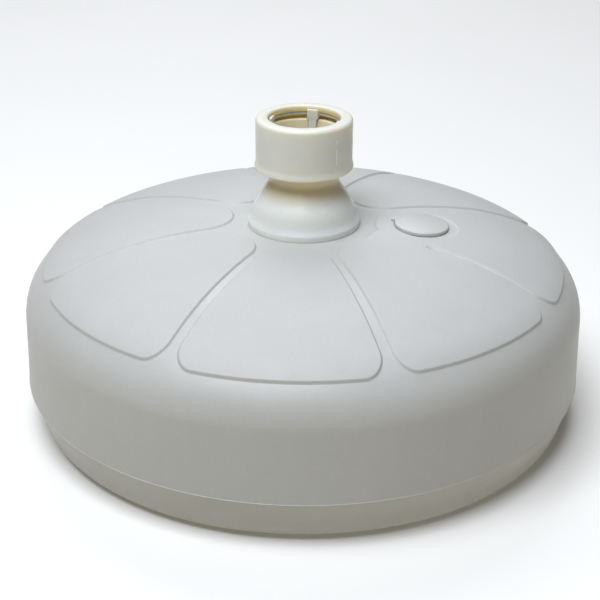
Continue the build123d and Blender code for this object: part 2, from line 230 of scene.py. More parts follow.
# ---------------------------------------------------------------- meshes
def skin(outline, stations, turns, lift=None, warp=None, closed=True, keep=None):
    """The outline turned about Z, as (points, faces, normals).

    turns holds a direction for each column, or for each row and column, in radians.
    lift(r, z, turn) raises the surface along its own normal.
    warp(r, z, turn) moves points in their half plane.
    keep(points) says which faces stay, by their middles.
    """
    along = np.repeat(stations[:, None], turns.shape[-1], axis=1)
    turns = np.broadcast_to(turns, along.shape)

    def place(s, turn):
        r, z = outline.place(s)
        if lift is not None:
            side_r, side_z = outline.side(s)
            height = lift(r, z, turn)
            r, z = r + side_r * height, z + side_z * height
        if warp is not None:
            r, z = warp(r, z, turn)
        return np.stack([r * np.cos(turn), r * np.sin(turn), z], axis=-1)

    points = place(along, turns)
    ahead = place(np.minimum(along + 0.04, outline.length), turns) - place(np.maximum(along - 0.04, 0), turns)
    around = place(along, turns + 4e-4) - place(along, turns - 4e-4)
    normals = np.cross(ahead, around)
    size = np.linalg.norm(normals, axis=-1, keepdims=True)
    normals = np.where(size > 1e-12, normals / np.maximum(size, 1e-12), np.array([0.0, 0.0, 1.0]))

    rows, columns = along.shape
    index = np.arange(rows * columns).reshape(rows, columns)
    nxt = np.roll(index, -1, axis=1)
    if not closed:
        index, nxt = index[:, :-1], nxt[:, :-1]
    faces = np.stack([index[:-1], index[1:], nxt[1:], nxt[:-1]], axis=-1).reshape(-1, 4)
    flat = points.reshape(-1, 3)
    if keep is not None:
        faces = faces[keep(flat[faces].mean(axis=1))]
    return flat, faces, normals.reshape(-1, 3)


def moved(piece, matrix):
    """A piece carried by a 4x4 matrix that works in millimetres."""
    points, faces, normals = piece
    turn = np.array(matrix.to_3x3())
    shift = np.array(matrix.translation)
    return points @ turn.T + shift, faces, None if normals is None else normals @ turn.T


def sector(corners, start, end, columns=10):
    """A closed outline of (r, z) corners swept between two directions in degrees, closed at its ends."""
    corners = np.array(corners, float)
    turns = np.radians(np.linspace(start, end, columns))
    points = np.stack(
        [
            corners[None, :, 0] * np.cos(turns)[:, None],
            corners[None, :, 0] * np.sin(turns)[:, None],
            np.broadcast_to(corners[None, :, 1], (columns, len(corners))),
        ],
        axis=-1,
    ).reshape(-1, 3)
    count = len(corners)
    faces = []
    for column in range(columns - 1):
        for corner in range(count):
            after = (corner + 1) % count
            low, high = column * count, (column + 1) * count
            faces.append((low + corner, low + after, high + after, high + corner))
    faces.append(tuple(reversed(range(count))))
    faces.append(tuple(range((columns - 1) * count, columns * count)))
    return points, faces, None


def ridge(wall, outward, start_z, turns=THREAD_TURNS, columns=72):
    """A helical thread ridge on a wall of that radius; it fades out at both ends."""
    section = [(-0.6, -1.75), (0.2, -1.6), (THREAD_DEPTH - 0.35, -0.95), (THREAD_DEPTH, -0.6)]
    section += [(d, -h) for d, h in reversed(section)]
    steps = int(columns * turns) + 1
    angle = np.linspace(0, 2 * np.pi * turns, steps)
    fade = np.clip(np.minimum(angle, angle[-1] - angle) / math.radians(14), 0.02, 1)
    deep = np.array([d for d, _ in section])
    high = np.array([h for _, h in section])
    reach = np.where(deep[None] > 0, deep[None] * fade[:, None], deep[None])
    r = wall + outward * reach
    z = start_z + PITCH * angle[:, None] / (2 * np.pi) + outward * high[None] * np.sqrt(fade)[:, None]
    points = np.stack([r * np.cos(angle)[:, None], r * np.sin(angle)[:, None], z], axis=-1).reshape(-1, 3)
    count = len(section)
    faces = []
    for step in range(steps - 1):
        for corner in range(count - 1):
            low, high_row = step * count, (step + 1) * count
            faces.append((low + corner, high_row + corner, high_row + corner + 1, low + corner + 1))
    faces.append(tuple(range(count)))
    faces.append(tuple(reversed(range((steps - 1) * count, steps * count))))
    return points, faces, None


def build(name, pieces, material, own_normals=False, smooth_angle=35.0):
    """One object from several pieces, all in millimetres."""
    points, faces, normals, offset = [], [], [], 0
    for piece_points, piece_faces, piece_normals in pieces:
        points.append(piece_points)
        faces += [tuple(int(corner) + offset for corner in face) for face in piece_faces]
        normals.append(piece_normals)
        offset += len(piece_points)
    mesh = bpy.data.meshes.new(name)
    mesh.from_pydata((np.vstack(points) * MM).tolist(), [], faces)
    mesh.update()
    mesh.shade_smooth()
    if own_normals:
        mesh.normals_split_custom_set_from_vertices(np.vstack(normals).tolist())
    else:
        mesh.set_sharp_from_angle(angle=math.radians(smooth_angle))
    mesh.materials.append(material)
    made = bpy.data.objects.new(name, mesh)
    bpy.context.scene.collection.objects.link(made)
    return made


def soften(obj, width, segments=3, angle=40.0):
    """Rounds an object's sharp edges by that many millimetres."""
    bevel = obj.modifiers.new("edges", "BEVEL")
    bevel.width = width * MM
    bevel.segments = segments
    bevel.limit_method = "ANGLE"
    bevel.angle_limit = math.radians(angle)
    bevel.harden_normals = True


# ---------------------------------------------------------------- materials
class Shading:
    """A material and its nodes, with short ways to add and join them."""

    def __init__(self, name):
        self.material = bpy.data.materials.new(name)
        self.material.use_nodes = True
        self.tree = self.material.node_tree
        self.shader = self.tree.nodes["Principled BSDF"]
        self.place = self.add("TexCoord").outputs["Object"]

    def add(self, kind, inputs=None, **settings):
        made = self.tree.nodes.new("ShaderNode" + kind)
        for key, value in settings.items():
            setattr(made, key, value)
        for key, value in (inputs or {}).items():
            if isinstance(value, bpy.types.NodeSocket):
                self.tree.links.new(value, made.inputs[key])
            else:
                made.inputs[key].default_value = value
        return made

    def noise(self, scale, detail=3.0, rough=0.5, where=None):
        made = self.add("TexNoise", {"Scale": scale, "Detail": detail, "Roughness": rough})
        self.tree.links.new(where or self.place, made.inputs["Vector"])
        return made.outputs["Fac"]

    def remap(self, value, low, high, out_low=0.0, out_high=1.0):
        made = self.add(
            "MapRange",
            {"Value": value, "From Min": low, "From Max": high, "To Min": out_low, "To Max": out_high},
        )
        made.clamp = True
        return made.outputs["Result"]

    def maths(self, operation, first, second):
        return self.add("Math", {0: first, 1: second}, operation=operation).outputs[0]

    def mix(self, fac, first, second, blend="MIX"):
        made = self.add("Mix", data_type="RGBA", blend_type=blend)
        for socket, value in ((0, fac), (6, first), (7, second)):
            if isinstance(value, bpy.types.NodeSocket):
                self.tree.links.new(value, made.inputs[socket])
            else:
                made.inputs[socket].default_value = value
        return made.outputs[2]

    def bump(self, height, strength, distance, before=None):
        made = self.add("Bump", {"Height": height, "Strength": strength, "Distance": distance * MM})
        if before is not None:
            self.tree.links.new(before, made.inputs["Normal"])
        return made.outputs["Normal"]

    def finish(self, colour, roughness, normal):
        self.tree.links.new(colour, self.shader.inputs["Base Color"])
        self.tree.links.new(roughness, self.shader.inputs["Roughness"])
        self.tree.links.new(normal, self.shader.inputs["Normal"])
        return self.material


def tone(r, g, b):
    return (r, g, b, 1.0)


def plastic(name, light, dark, rough, grain, waviness, depth, inside=None, foot=None):
    """Moulded plastic: faint clouding, fine grain, slow unevenness, and light that travels inside it.

    depth = (weight, millimetres) of that light.
    inside = (full_mm, none_mm, top_mm, colour) paints a colour that stands for light and shade onto what lies
    near the pole axis and below a height: a warm bounced glow in the nut, a warm shadow on the neck.
    foot = (full_mm, none_mm, colour) paints a glow of light shining through the bottom edge.
    """
    look = Shading(name)
    cloud = look.remap(look.noise(9.0, 4.0, 0.55), 0.35, 0.65)
    colour = look.mix(cloud, tone(*dark), tone(*light))
    speck = look.remap(look.noise(340.0, 2.0, 0.6), 0.30, 0.62, 0.975, 1.0)
    fine = look.add("CombineColor", {0: speck, 1: speck, 2: speck}).outputs[0]
    colour = look.mix(1.0, colour, fine, "MULTIPLY")
    split = look.add("SeparateXYZ", {0: look.place})
    x, y, height = split.outputs[0], split.outputs[1], split.outputs[2]
    if inside is not None:
        # Painted light and shade near the pole axis, mixed into the colour.
        full, none, top, painted_light_tone = inside
        squares = look.maths("ADD", look.maths("MULTIPLY", x, x), look.maths("MULTIPLY", y, y))
        away = look.maths("SQRT", squares, 0.0)
        nearness = look.remap(away, full * MM, none * MM, 1.0, 0.0)
        below = look.remap(height, (top - 1.2) * MM, top * MM, 1.0, 0.0)
        colour = look.mix(look.maths("MULTIPLY", nearness, below), colour, tone(*painted_light_tone))
    if foot is not None:
        # Painted glow along the bottom edge, for light shining through the plastic.
        full, none, painted_light_tone = foot
        colour = look.mix(look.remap(height, full * MM, none * MM, 1.0, 0.0), colour, tone(*painted_light_tone))
    roughness = look.remap(look.noise(45.0, 5.0, 0.6), 0.3, 0.7, rough[0], rough[1])
    waves = look.bump(look.noise(14.0, 2.0, 0.4), waviness, 1.2)
    normal = look.bump(look.noise(1500.0, 3.0, 0.6), grain, 0.12, waves)
    look.shader.inputs["IOR"].default_value = 1.5
    look.shader.inputs["Subsurface Weight"].default_value = depth[0]
    look.shader.inputs["Subsurface Radius"].default_value = (1.0, 0.78, 0.42)
    look.shader.inputs["Subsurface Scale"].default_value = depth[1] * MM
    return look.finish(colour, roughness, normal)


def tank_plastic():
    """The blow-moulded tank: matt, finely grained petals and smoother bands, and painted shade darkening the
    grooves.
    """
    look = Shading("tank_plastic")
    petal = look.add("Attribute", attribute_name="petal", attribute_type="GEOMETRY").outputs["Fac"]
    groove = look.add("Attribute", attribute_name="groove", attribute_type="GEOMETRY").outputs["Fac"]
    cloud = look.remap(look.noise(7.0, 5.0, 0.6), 0.32, 0.68)
    colour = look.mix(cloud, tone(0.512, 0.513, 0.498), tone(0.536, 0.538, 0.526))
    streak_space = look.add("Mapping", {"Vector": look.place, "Scale": (1.0, 1.0, 0.12)}).outputs[0]
    streak = look.remap(look.noise(70.0, 4.0, 0.6, streak_space), 0.45, 0.75)
    colour = look.mix(look.maths("MULTIPLY", streak, 0.25), colour, tone(0.49, 0.487, 0.465))
    speck = look.remap(look.noise(420.0, 2.0, 0.6), 0.30, 0.62, 0.97, 1.0)
    fine = look.add("CombineColor", {0: speck, 1: speck, 2: speck}).outputs[0]
    colour = look.mix(1.0, colour, fine, "MULTIPLY")
    # Painted shade: the grooves between the petals are darkened, in patches, toward a dull grey-brown.
    groove_painted_shade = look.maths("MULTIPLY", groove, look.remap(look.noise(120.0, 3.0, 0.6), 0.3, 0.7, 0.02, 0.16))
    colour = look.mix(groove_painted_shade, colour, tone(0.37, 0.36, 0.31))
    height = look.add("SeparateXYZ", {0: look.place}).outputs[2]
    low = look.remap(height, 0.0, 30 * MM, 1.0, 0.0)
    scuffed = look.maths("MULTIPLY", low, look.remap(look.noise(60.0, 5.0, 0.65), 0.42, 0.7, 0.0, 0.30))
    colour = look.mix(scuffed, colour, tone(0.40, 0.385, 0.34))
    uneven = look.noise(38.0, 5.0, 0.6)
    smooth_rough = look.remap(uneven, 0.3, 0.7, 0.36, 0.46)
    petal_rough = look.remap(uneven, 0.3, 0.7, 0.50, 0.62)
    blend = look.add("Mix", {0: petal, 2: smooth_rough, 3: petal_rough}, data_type="FLOAT")
    waves = look.bump(look.noise(11.0, 2.0, 0.4), 0.20, 1.6)
    grain = look.noise(1100.0, 3.0, 0.6)
    grain_height = look.maths("MULTIPLY", grain, look.remap(petal, 0.0, 1.0, 0.35, 1.0))
    normal = look.bump(grain_height, 0.28, 0.25, waves)
    look.shader.inputs["IOR"].default_value = 1.5
    look.shader.inputs["Subsurface Weight"].default_value = 0.08
    look.shader.inputs["Subsurface Radius"].default_value = (1.0, 0.8, 0.5)
    look.shader.inputs["Subsurface Scale"].default_value = 4.0 * MM
    return look.finish(colour, blend.outputs[0], normal)


def rubber():
    look = Shading("seal_rubber")
    colour = look.mix(look.noise(80.0, 4.0, 0.6), tone(0.012, 0.012, 0.012), tone(0.03, 0.03, 0.03))
    roughness = look.remap(look.noise(200.0, 3.0, 0.6), 0.3, 0.7, 0.65, 0.85)
    return look.finish(colour, roughness, look.bump(look.noise(900.0, 3.0, 0.6), 0.3, 0.2))


# ---------------------------------------------------------------- the frame
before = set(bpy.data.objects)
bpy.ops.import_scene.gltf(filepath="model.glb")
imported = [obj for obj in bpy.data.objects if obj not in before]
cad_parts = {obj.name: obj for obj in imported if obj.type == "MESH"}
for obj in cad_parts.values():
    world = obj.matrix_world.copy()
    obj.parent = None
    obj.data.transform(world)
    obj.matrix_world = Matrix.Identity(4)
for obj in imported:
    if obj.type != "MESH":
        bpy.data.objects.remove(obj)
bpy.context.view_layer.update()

TANK = tank_plastic()
IVORY = (0.775, 0.760, 0.690)
IVORY_DARK = (0.750, 0.732, 0.655)
# Painted light: a warm yellow glow, for light bounced round inside the nut, laid on its inner faces.
PAINTED_BOUNCE_GLOW = (0.860, 0.745, 0.450)
# Painted shadow: a warm brown for the shade on the neck's waist and bore under the nut.
PAINTED_WAIST_SHADOW = (0.800, 0.720, 0.520)
PALE = (0.800, 0.790, 0.735)
NECK = plastic(
    "neck_plastic",
    (0.830, 0.820, 0.770),
    (0.805, 0.792, 0.735),
    (0.20, 0.27),
    0.02,
    0.03,
    (0.7, 7.0),
    # Painted shadow on the waist and bore, fading out up the bell.
    inside=(27.5, 35.0, 260.0, PAINTED_WAIST_SHADOW),
    # Painted light: the bell's bottom band is brighter and yellower, for light shining through the ivory
    # there.
    foot=(159.0, 162.5, (0.900, 0.880, 0.760)),
)
# The nut's inner faces carry a painted warm glow of bounced light.
NUT = plastic(
    "nut_plastic", IVORY, IVORY_DARK, (0.32, 0.42), 0.06, 0.06, (0.8, 7.0), inside=(35.0, 36.6, 243.8, PAINTED_BOUNCE_GLOW)
)
COLLET = plastic("collet_plastic", PALE, IVORY, (0.30, 0.38), 0.05, 0.05, (0.6, 6.0))
CAP = plastic(
    "cap_plastic", (0.560, 0.562, 0.550), (0.535, 0.537, 0.522), (0.34, 0.44), 0.08, 0.05, (0.1, 4.0)
)
TUBE = plastic("tube_plastic", PALE, IVORY, (0.34, 0.44), 0.06, 0.05, (0.3, 5.0))
FOOT = plastic("foot_nut_plastic", IVORY, IVORY_DARK, (0.40, 0.50), 0.08, 0.1, (0.1, 5.0))
SEAL = rubber()


# ---------------------------------------------------------------- tank
def ease(value):
    """0 to 1 with soft ends."""
    t = np.clip(value, 0, 1)
    return t * t * t * (t * (6 * t - 15) + 10)


def soft_max(a, b, width):
    overlap = np.maximum(width - np.abs(a - b), 0) / width
    return np.maximum(a, b) + overlap * overlap * width / 4


def petal_depth(r, turn):
    """How far a place on the dome lies inside the nearest petal, seen from above; negative in the bands."""
    half = PETAL_PITCH / 2
    off = (np.degrees(turn) - PETAL_START + half) % PETAL_PITCH - half
    off = np.radians(np.abs(off))
    side = r * np.sin(math.radians(PETAL_SIDE_ANGLE) - off) - PETAL_INSET
    outer = PETAL_OUTER - r
    u = np.maximum(PETAL_OUTER_CORNER - outer, 0)
    v = np.maximum(PETAL_OUTER_CORNER - side, 0)
    corner = PETAL_OUTER_CORNER - np.hypot(u, v)
    body = np.where((u > 0) | (v > 0), np.minimum(np.minimum(outer, side), corner), np.minimum(outer, side))
    slant = math.radians(PETAL_SIDE_ANGLE)
    x = r * np.cos(off) - (PETAL_INSET + PETAL_TIP_ROUNDING) / math.sin(slant)
    y = r * np.sin(off)
    before_sides = x * math.cos(slant) + y * math.sin(slant) < 0
    return np.where(before_sides, PETAL_TIP_ROUNDING - np.hypot(x, y), body)


def bridge_depth(r, turn):
    """The same for the short stretch of band beside the filler that is closed at petal level."""
    off = turn - math.radians(PETAL_START - PETAL_PITCH / 2)
    x, y = r * np.cos(off), r * np.sin(off)
    ends = np.minimum(BRIDGE_SPAN[1] - x, x - BRIDGE_SPAN[0]) * BRIDGE_END_SLOPE
    return np.minimum(ends, BRIDGE_HALF_WIDTH - np.abs(y))


def filler_place(r, turn):
    """Distances from the filler's centre, outward and sideways."""
    off = turn - math.radians(PETAL_START)
    return r * np.cos(off) - FILLER_RADIUS, r * np.sin(off)


def dome_fall(out, across):
    """How far the dome has fallen away from the filler's flat plane there."""
    return out**2 / DOME_FALL[0] + across**2 / DOME_FALL[1]


def dish_drop(out, across):
    """How deep the finger dish round the filler is there."""
    angle = math.radians(FINGER_DISH_ANGLE)
    dish_out = out - FINGER_DISH_OFFSET * math.cos(angle)
    dish_across = across - FINGER_DISH_OFFSET * math.sin(angle)
    inside = FINGER_DISH - np.hypot(dish_out, dish_across)
    depth = np.maximum(FINGER_DISH_DEPTH - dome_fall(out, across), 0)
    return depth * ease(inside / DISH_EDGE_WIDTH + 0.5)


def raised_depth(r, turn):
    return soft_max(petal_depth(r, turn), bridge_depth(r, turn), 5.0)


def tank_lift(r, z, turn):
    """How far the tank's top stands off its plain dome."""
    step = np.clip(raised_depth(r, turn) / PETAL_EDGE_WIDTH + 0.5, 0, 1)
    height = PETAL_HEIGHT * step * step * (3 - 2 * step)
    out, across = filler_place(r, turn)
    height = height - dish_drop(out, across)
    return np.where(z > TOP_FROM_Z, height, 0.0)


def top_chain():
    """The tank's top from the edge of the bell's seat out to the rim."""
    at, heading, runs = np.array([RIM_RADIUS, RIM_Z]), 90.0, []
    for radius, turn in TOP_ARCS:
        centre = at + radius * np.array([-math.sin(math.radians(heading)), math.cos(math.radians(heading))])
        runs.append(arc(centre, radius, heading - 90, heading - 90 + turn, 160))
        at, heading = runs[-1][-1], heading + turn
    return np.vstack(runs)[::-1]


def tank_columns(r):
    """Directions of the tank's columns at each radius, close together along the petals' edges."""
    r = np.maximum(r, 44.0)[:, None]
    room = np.minimum(20.0, 0.82 * r * math.sin(math.radians(PETAL_PITCH / 2)))
    gap = np.minimum(PETAL_INSET + r * math.sin(math.radians(PETAL_PITCH / 2 - PETAL_SIDE_ANGLE)), 0.3 * room)
    beyond = np.concatenate([np.arange(-1.2, 1.21, 0.24), np.arange(1.7, 15.0, 0.62)])
    scale = (room - gap - 1.2) / (15.0 - 1.2)
    offsets = gap + np.where(beyond > 1.25, 1.2 + (beyond - 1.2) * scale, beyond)
    offsets = np.concatenate([np.zeros_like(gap), gap * 0.25, offsets], axis=1)
    swing = np.arcsin(offsets / r)
    last = swing[:, -1:]
    columns = []
    for sector_number in range(PETAL_COUNT):
        low = math.radians(PETAL_START - PETAL_PITCH / 2 + PETAL_PITCH * sector_number)
        high = low + math.radians(PETAL_PITCH)
        middle = 46 if sector_number == 0 else 12
        share = np.linspace(0, 1, middle + 2)[1:-1]
        columns.append(low + swing)
        columns.append(low + last + (high - low - 2 * last) * share)
        columns.append(high - swing[:, :0:-1])
    return np.concatenate(columns, axis=1)


def top_step(r, z):
    """How far apart the tank's rings are."""
    if z < TOP_FROM_Z:
        return 0.12 if abs(z - PARTING_Z) < 1.2 else (0.8 if abs(z - PARTING_Z) < 4 else 6.0)
    if r < 47 or r > 212:
        return 1.8
    if r < 56:
        return 1.2
    if r < 66:
        return 0.42
    if r < 124:
        return 0.72
    if r < 187:
        return 3.0
    return 0.55 if r < 204 else 0.32


wall_run = rounded(
    [
        (RIM_RADIUS, RIM_Z),
        (PARTING_RADIUS - PARTING_BEAD, PARTING_Z + 0.45),
        (PARTING_RADIUS - 0.05, PARTING_Z + 0.12, 0.15),
        (PARTING_RADIUS - 0.05, PARTING_Z - 0.12, 0.15),
        (PARTING_RADIUS - PARTING_BEAD, PARTING_Z - 0.45),
        (FOOT_RADIUS + 0.6, 18.0, 14.0),
        (FOOT_RADIUS, 16.0 - 2.0),
    ]
)
tank_top = Outline(
    rounded([(WELL_RADIUS, RECESS_Z), (WELL_RADIUS, BELL_FOOT_Z, WELL_EDGE), (BELL_SEAT_EDGE, BELL_FOOT_Z)]),
    top_chain(),
    wall_run[:-1],
    arc((FOOT_RADIUS - FOOT_ROUNDING, FOOT_ROUNDING), FOOT_ROUNDING, -4, -30, 12),
)
top_stations = tank_top.stations(top_step, 5.0)
filler_direction = np.array([math.cos(math.radians(PETAL_START)), math.sin(math.radians(PETAL_START))])
filler_centre = FILLER_RADIUS * filler_direction


def outside_hole(points):
    """Leaves out the tank's top over the filler; the seat ring lies under the edge this leaves."""
    flat = np.hypot(points[:, 0] - filler_centre[0], points[:, 1] - filler_centre[1])
    return (flat > SEAT_LIP[0]) | (points[:, 2] < TOP_FROM_Z)


top_piece = skin(
    tank_top,
    top_stations,
    tank_columns(tank_top.place(top_stations)[0]),
    lift=tank_lift,
    keep=outside_hole,
)


def rib_lift(r, z, turn):
    """The stiffening ribs under the tank."""
    off = (np.degrees(turn) - PETAL_START + PETAL_PITCH / 2) % PETAL_PITCH - PETAL_PITCH / 2
    x, y = r * np.cos(np.radians(off)), r * np.sin(np.radians(off))
    middle = (RIB_SPAN[0] + RIB_SPAN[1]) / 2
    half = (RIB_SPAN[1] - RIB_SPAN[0]) / 2 - RIB_HALF_WIDTH
    inside = RIB_HALF_WIDTH - np.hypot(np.maximum(np.abs(x - middle) - half, 0), y)
    return np.where((z < 9) & (r > 54) & (r < 164), RIB_DEPTH * ease(inside / 2.0 + 0.3), 0.0)


def under_columns(r):
    """Directions of the underside's columns, close together along the ribs' sides."""
    r = np.maximum(r, 54.0)[:, None]
    offsets = np.array([0.0, 1.8, 2.7, 3.2, 3.6, 4.0, 4.4, 4.9, 5.6, 7.0])[None, :] + 0 * r
    swing = np.arcsin(offsets / r)
    last = swing[:, -1:]
    columns = []
    for rib in range(RIB_COUNT):
        low = math.radians(PETAL_START + PETAL_PITCH * rib)
        share = np.linspace(0, 1, 12)[1:-1]
        columns.append(low + swing)
        columns.append(low + last + (math.radians(PETAL_PITCH) - 2 * last) * share)
        columns.append(low + math.radians(PETAL_PITCH) - swing[:, :0:-1])
    return np.concatenate(columns, axis=1)


def under_step(r, z):
    if r < 54 or r > 166:
        return 2.5
    return 0.6 if r < 64 or r > 155 else 7.0


tank_under = Outline(
    arc((FOOT_RADIUS - FOOT_ROUNDING, FOOT_ROUNDING), FOOT_ROUNDING, -28, -90, 40),
    rounded(
        [
            (FOOT_RADIUS - FOOT_ROUNDING, 0.0),
            (FOOT_RING_INNER, 0.0, 2.5),
            (FOOT_RING_INNER - PANEL_Z, PANEL_Z, 2.5),
            (RECESS_RADIUS + 2.0, PANEL_Z, 2.5),
            (RECESS_RADIUS, RECESS_Z, 2.5),
            (WELL_RADIUS, RECESS_Z),
        ]
    ),
)
under_stations = tank_under.stations(under_step)
under_piece = skin(
    tank_under,
    under_stations,
    under_columns(tank_under.place(under_stations)[0]),
    lift=rib_lift,
)

inner_top = top_chain()
inner_side = np.gradient(inner_top, axis=0)
inner_side /= np.linalg.norm(inner_side, axis=1, keepdims=True)
inner_top = inner_top - WALL * np.stack([-inner_side[:, 1], inner_side[:, 0]], axis=1)
tank_inside = Outline(
    rounded(
        [
            (WELL_RADIUS + WALL, RECESS_Z + WALL),
            (RECESS_RADIUS + WALL, RECESS_Z + WALL, 2.0),
            (RECESS_RADIUS + WALL + 2.0, PANEL_Z + WALL, 2.0),
            (FOOT_RING_INNER - PANEL_Z, PANEL_Z + WALL, 2.5),
            (FOOT_RING_INNER, WALL, 2.5),
            (FOOT_RADIUS - WALL, WALL, 12.0),
            (PARTING_RADIUS - WALL, PARTING_Z, 4.0),
            tuple(inner_top[-1]),
        ]
    ),
    inner_top[::-1],
    rounded(
        [
            tuple(inner_top[0]),
            (WELL_RADIUS + WALL, inner_top[0][1], 3.0),
            (WELL_RADIUS + WALL, RECESS_Z + WALL),
        ]
    ),
)
even_turns = np.radians(np.arange(0, 360, 3.0))


def outside_neck(points):
    """Leaves the filler's way into the tank open."""
    flat = np.hypot(points[:, 0] - filler_centre[0], points[:, 1] - filler_centre[1])
    return (flat > INSIDE_OPENING) | (points[:, 2] < TOP_FROM_Z)


near_filler = math.radians(PETAL_START) + np.radians(np.arange(-13.8, 13.9, 0.71))
inside_turns = np.sort(np.concatenate([even_turns, near_filler]) % (2 * np.pi))
inside_piece = skin(
    tank_inside,
    tank_inside.stations(lambda r, z: 1.5 if z > 130 and 74 < r < 114 else 12.0, 12.0),
    inside_turns,
    keep=outside_neck,
)

# The filler's own frame: X outward down the dome, Z the way the plug pulls
lean = math.asin((FILLER_RADIUS - CROWN_CENTRE[0]) / CROWN_RADIUS)
plug_axis = Vector((*(filler_direction * math.sin(lean)), math.cos(lean)))
outward = Vector((*(filler_direction * math.cos(lean)), -math.sin(lean)))
sideways = plug_axis.cross(outward)
filler_origin = Vector((*(filler_direction * CROWN_CENTRE[0]), CROWN_CENTRE[1]))
filler_origin += plug_axis * (CROWN_RADIUS + PETAL_HEIGHT)
FILLER = Matrix.Identity(4)
for column, direction in enumerate((outward, sideways, plug_axis, filler_origin)):
    for row in range(3):
        FILLER[row][column] = direction[row]

seat = Outline(
    rounded(
        [
            (FILLER_HOLE + FILLER_NECK_WALL, -5.0),
            (FILLER_HOLE + FILLER_NECK_WALL, -FILLER_SEAT_DEPTH - FILLER_NECK_DEPTH, 0.8),
            (FILLER_HOLE, -FILLER_SEAT_DEPTH - FILLER_NECK_DEPTH, 0.8),
            (FILLER_HOLE, -FILLER_SEAT_DEPTH, 0.5),
            (FILLER_SEAT, -FILLER_SEAT_DEPTH),
            (FILLER_SEAT, 0.02, 0.3),
            (SEAT_LIP[1], 0.02),
        ]
    )
)


def seat_follow(r, z, turn):
    """Lays the seat ring's rim on the petal and in the dish, and tucks its outer edge under them."""
    out, across = r * np.cos(turn), r * np.sin(turn)
    fall = dome_fall(out, across) + dish_drop(out, across)
    share = np.clip((z + FILLER_SEAT_DEPTH) / FILLER_SEAT_DEPTH, 0, 1)
    tuck = 0.12 * ease((r - SEAT_LIP[0] - 0.7) / 0.8)
    return r, z - share * (fall + tuck)


seat_stations = seat.stations(lambda r, z: 0.45 if z > -2 else 2.0)
seat_piece = moved(skin(seat, seat_stations, even_turns, warp=seat_follow), FILLER)

tank_pieces = [top_piece, under_piece, inside_piece, seat_piece]
tank = build("tank_shell", tank_pieces, TANK, own_normals=True)
where = np.concatenate([piece[0] for piece in tank_pieces])
radius = np.hypot(where[:, 0], where[:, 1])
depth = raised_depth(radius, np.arctan2(where[:, 1], where[:, 0]))
on_top = where[:, 2] > TOP_FROM_Z
petal_mask = np.where(on_top, ease(depth / 2.0 + 0.5), 0.0)
groove_mask = np.where(on_top & (radius > 50), np.exp(-(((depth + 0.9) / 0.7) ** 2)), 0.0)
for attribute_name, values in (("petal", petal_mask), ("groove", groove_mask)):
    attribute = tank.data.attributes.new(attribute_name, "FLOAT", "POINT")
    attribute.data.foreach_set("value", values.astype(np.float32))
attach(tank, "base")
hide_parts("tank")

# ---------------------------------------------------------------- filler cap
crown_radius = (CAP_RADIUS**2 + CAP_CROWN**2) / (2 * CAP_CROWN)
dome_end = 90 - math.degrees(math.asin(CAP_DOME_EDGE / crown_radius))
dome_run = arc((0.0, CAP_TOP + CAP_CROWN - crown_radius), crown_radius, 90, dome_end, 30)
dome_run[0, 0] = 0.02
cap = Outline(
    dome_run,
    rounded(
        [
            tuple(dome_run[-1]),
            (CAP_RADIUS, CAP_TOP - 0.05, 1.3),
            (CAP_RADIUS, CAP_LIP_END, 0.14),
            (CAP_RADIUS - 0.3, CAP_LIP_END, 0.14),
            (CAP_RADIUS - 0.3, CAP_UNDER),
            (CAP_SKIRT[1], CAP_UNDER, 0.4),
            (CAP_SKIRT[1], CAP_SKIRT_END + 1.5, 0.5),
            (CAP_SKIRT[1] - 0.6, CAP_SKIRT_END, 0.3),
            (CAP_SKIRT[0], CAP_SKIRT_END, 0.3),
            (CAP_SKIRT[0], CAP_UNDER, 0.6),
            (0.02, CAP_UNDER),
        ]
    ),
)
cap_piece = moved(
    skin(cap, cap.stations(lambda r, z: 1.4), np.radians(np.arange(0, 360, 2.5))),
    FILLER,
)
cap_object = build("filler_plug_cap", [cap_piece], CAP, own_normals=True)
tab_outline = [
    (CAP_RADIUS - TAB_ROOT, TAB_FOOT),
    (CAP_RADIUS + TAB_LENGTH, TAB_FOOT),
    (CAP_RADIUS + TAB_LENGTH, TAB_HEIGHT),
    (CAP_RADIUS - TAB_ROOT, TAB_HEIGHT),
]
tab_half = math.degrees(TAB_WIDTH / 2 / CAP_RADIUS)
tab_piece = moved(sector(tab_outline, TAB_ANGLE - tab_half, TAB_ANGLE + tab_half, 6), FILLER)
tab = build("filler_plug_tab", [tab_piece], CAP)
soften(tab, 0.4)
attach(tab, "filler_plug")
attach(cap_object, "filler_plug")
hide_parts("filler_cap")

